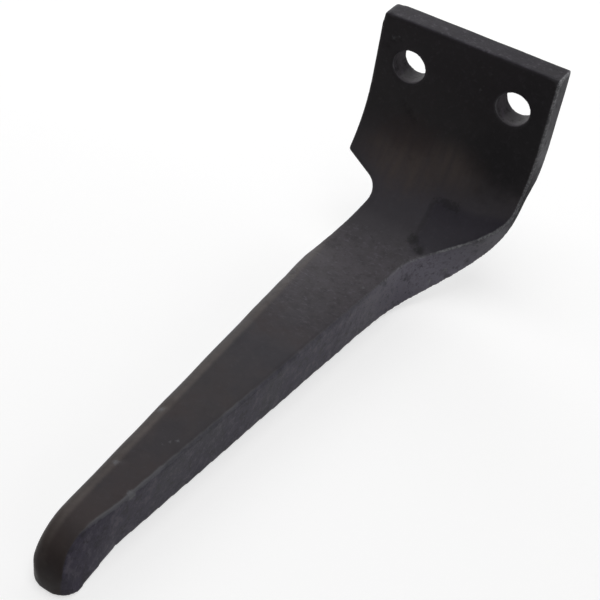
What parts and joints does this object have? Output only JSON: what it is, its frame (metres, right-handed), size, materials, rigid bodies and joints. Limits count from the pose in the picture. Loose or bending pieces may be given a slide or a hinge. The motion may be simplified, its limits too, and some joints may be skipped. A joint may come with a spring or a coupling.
{
  "type": "power harrow tine",
  "caption": "Bent forged harrow tine: a drilled bolting flange that curves into a long offset blade tapering to a rounded tip.",
  "frame": {"origin": "midway between the bolt holes on the flange's mounting face", "axes": "+X along the row of bolt holes, +Y out of the mounting face and away from the blade, +Z to the flange's free edge"},
  "size_m": [0.1, 0.32, 0.132],
  "materials": {
    "forged_steel": "thin satin black coat over forged steel, with fine forging grain and light wear on the edges"
  },
  "bodies": {
    "root": {"tine": "forged_steel"}
  },
  "joints": []
}
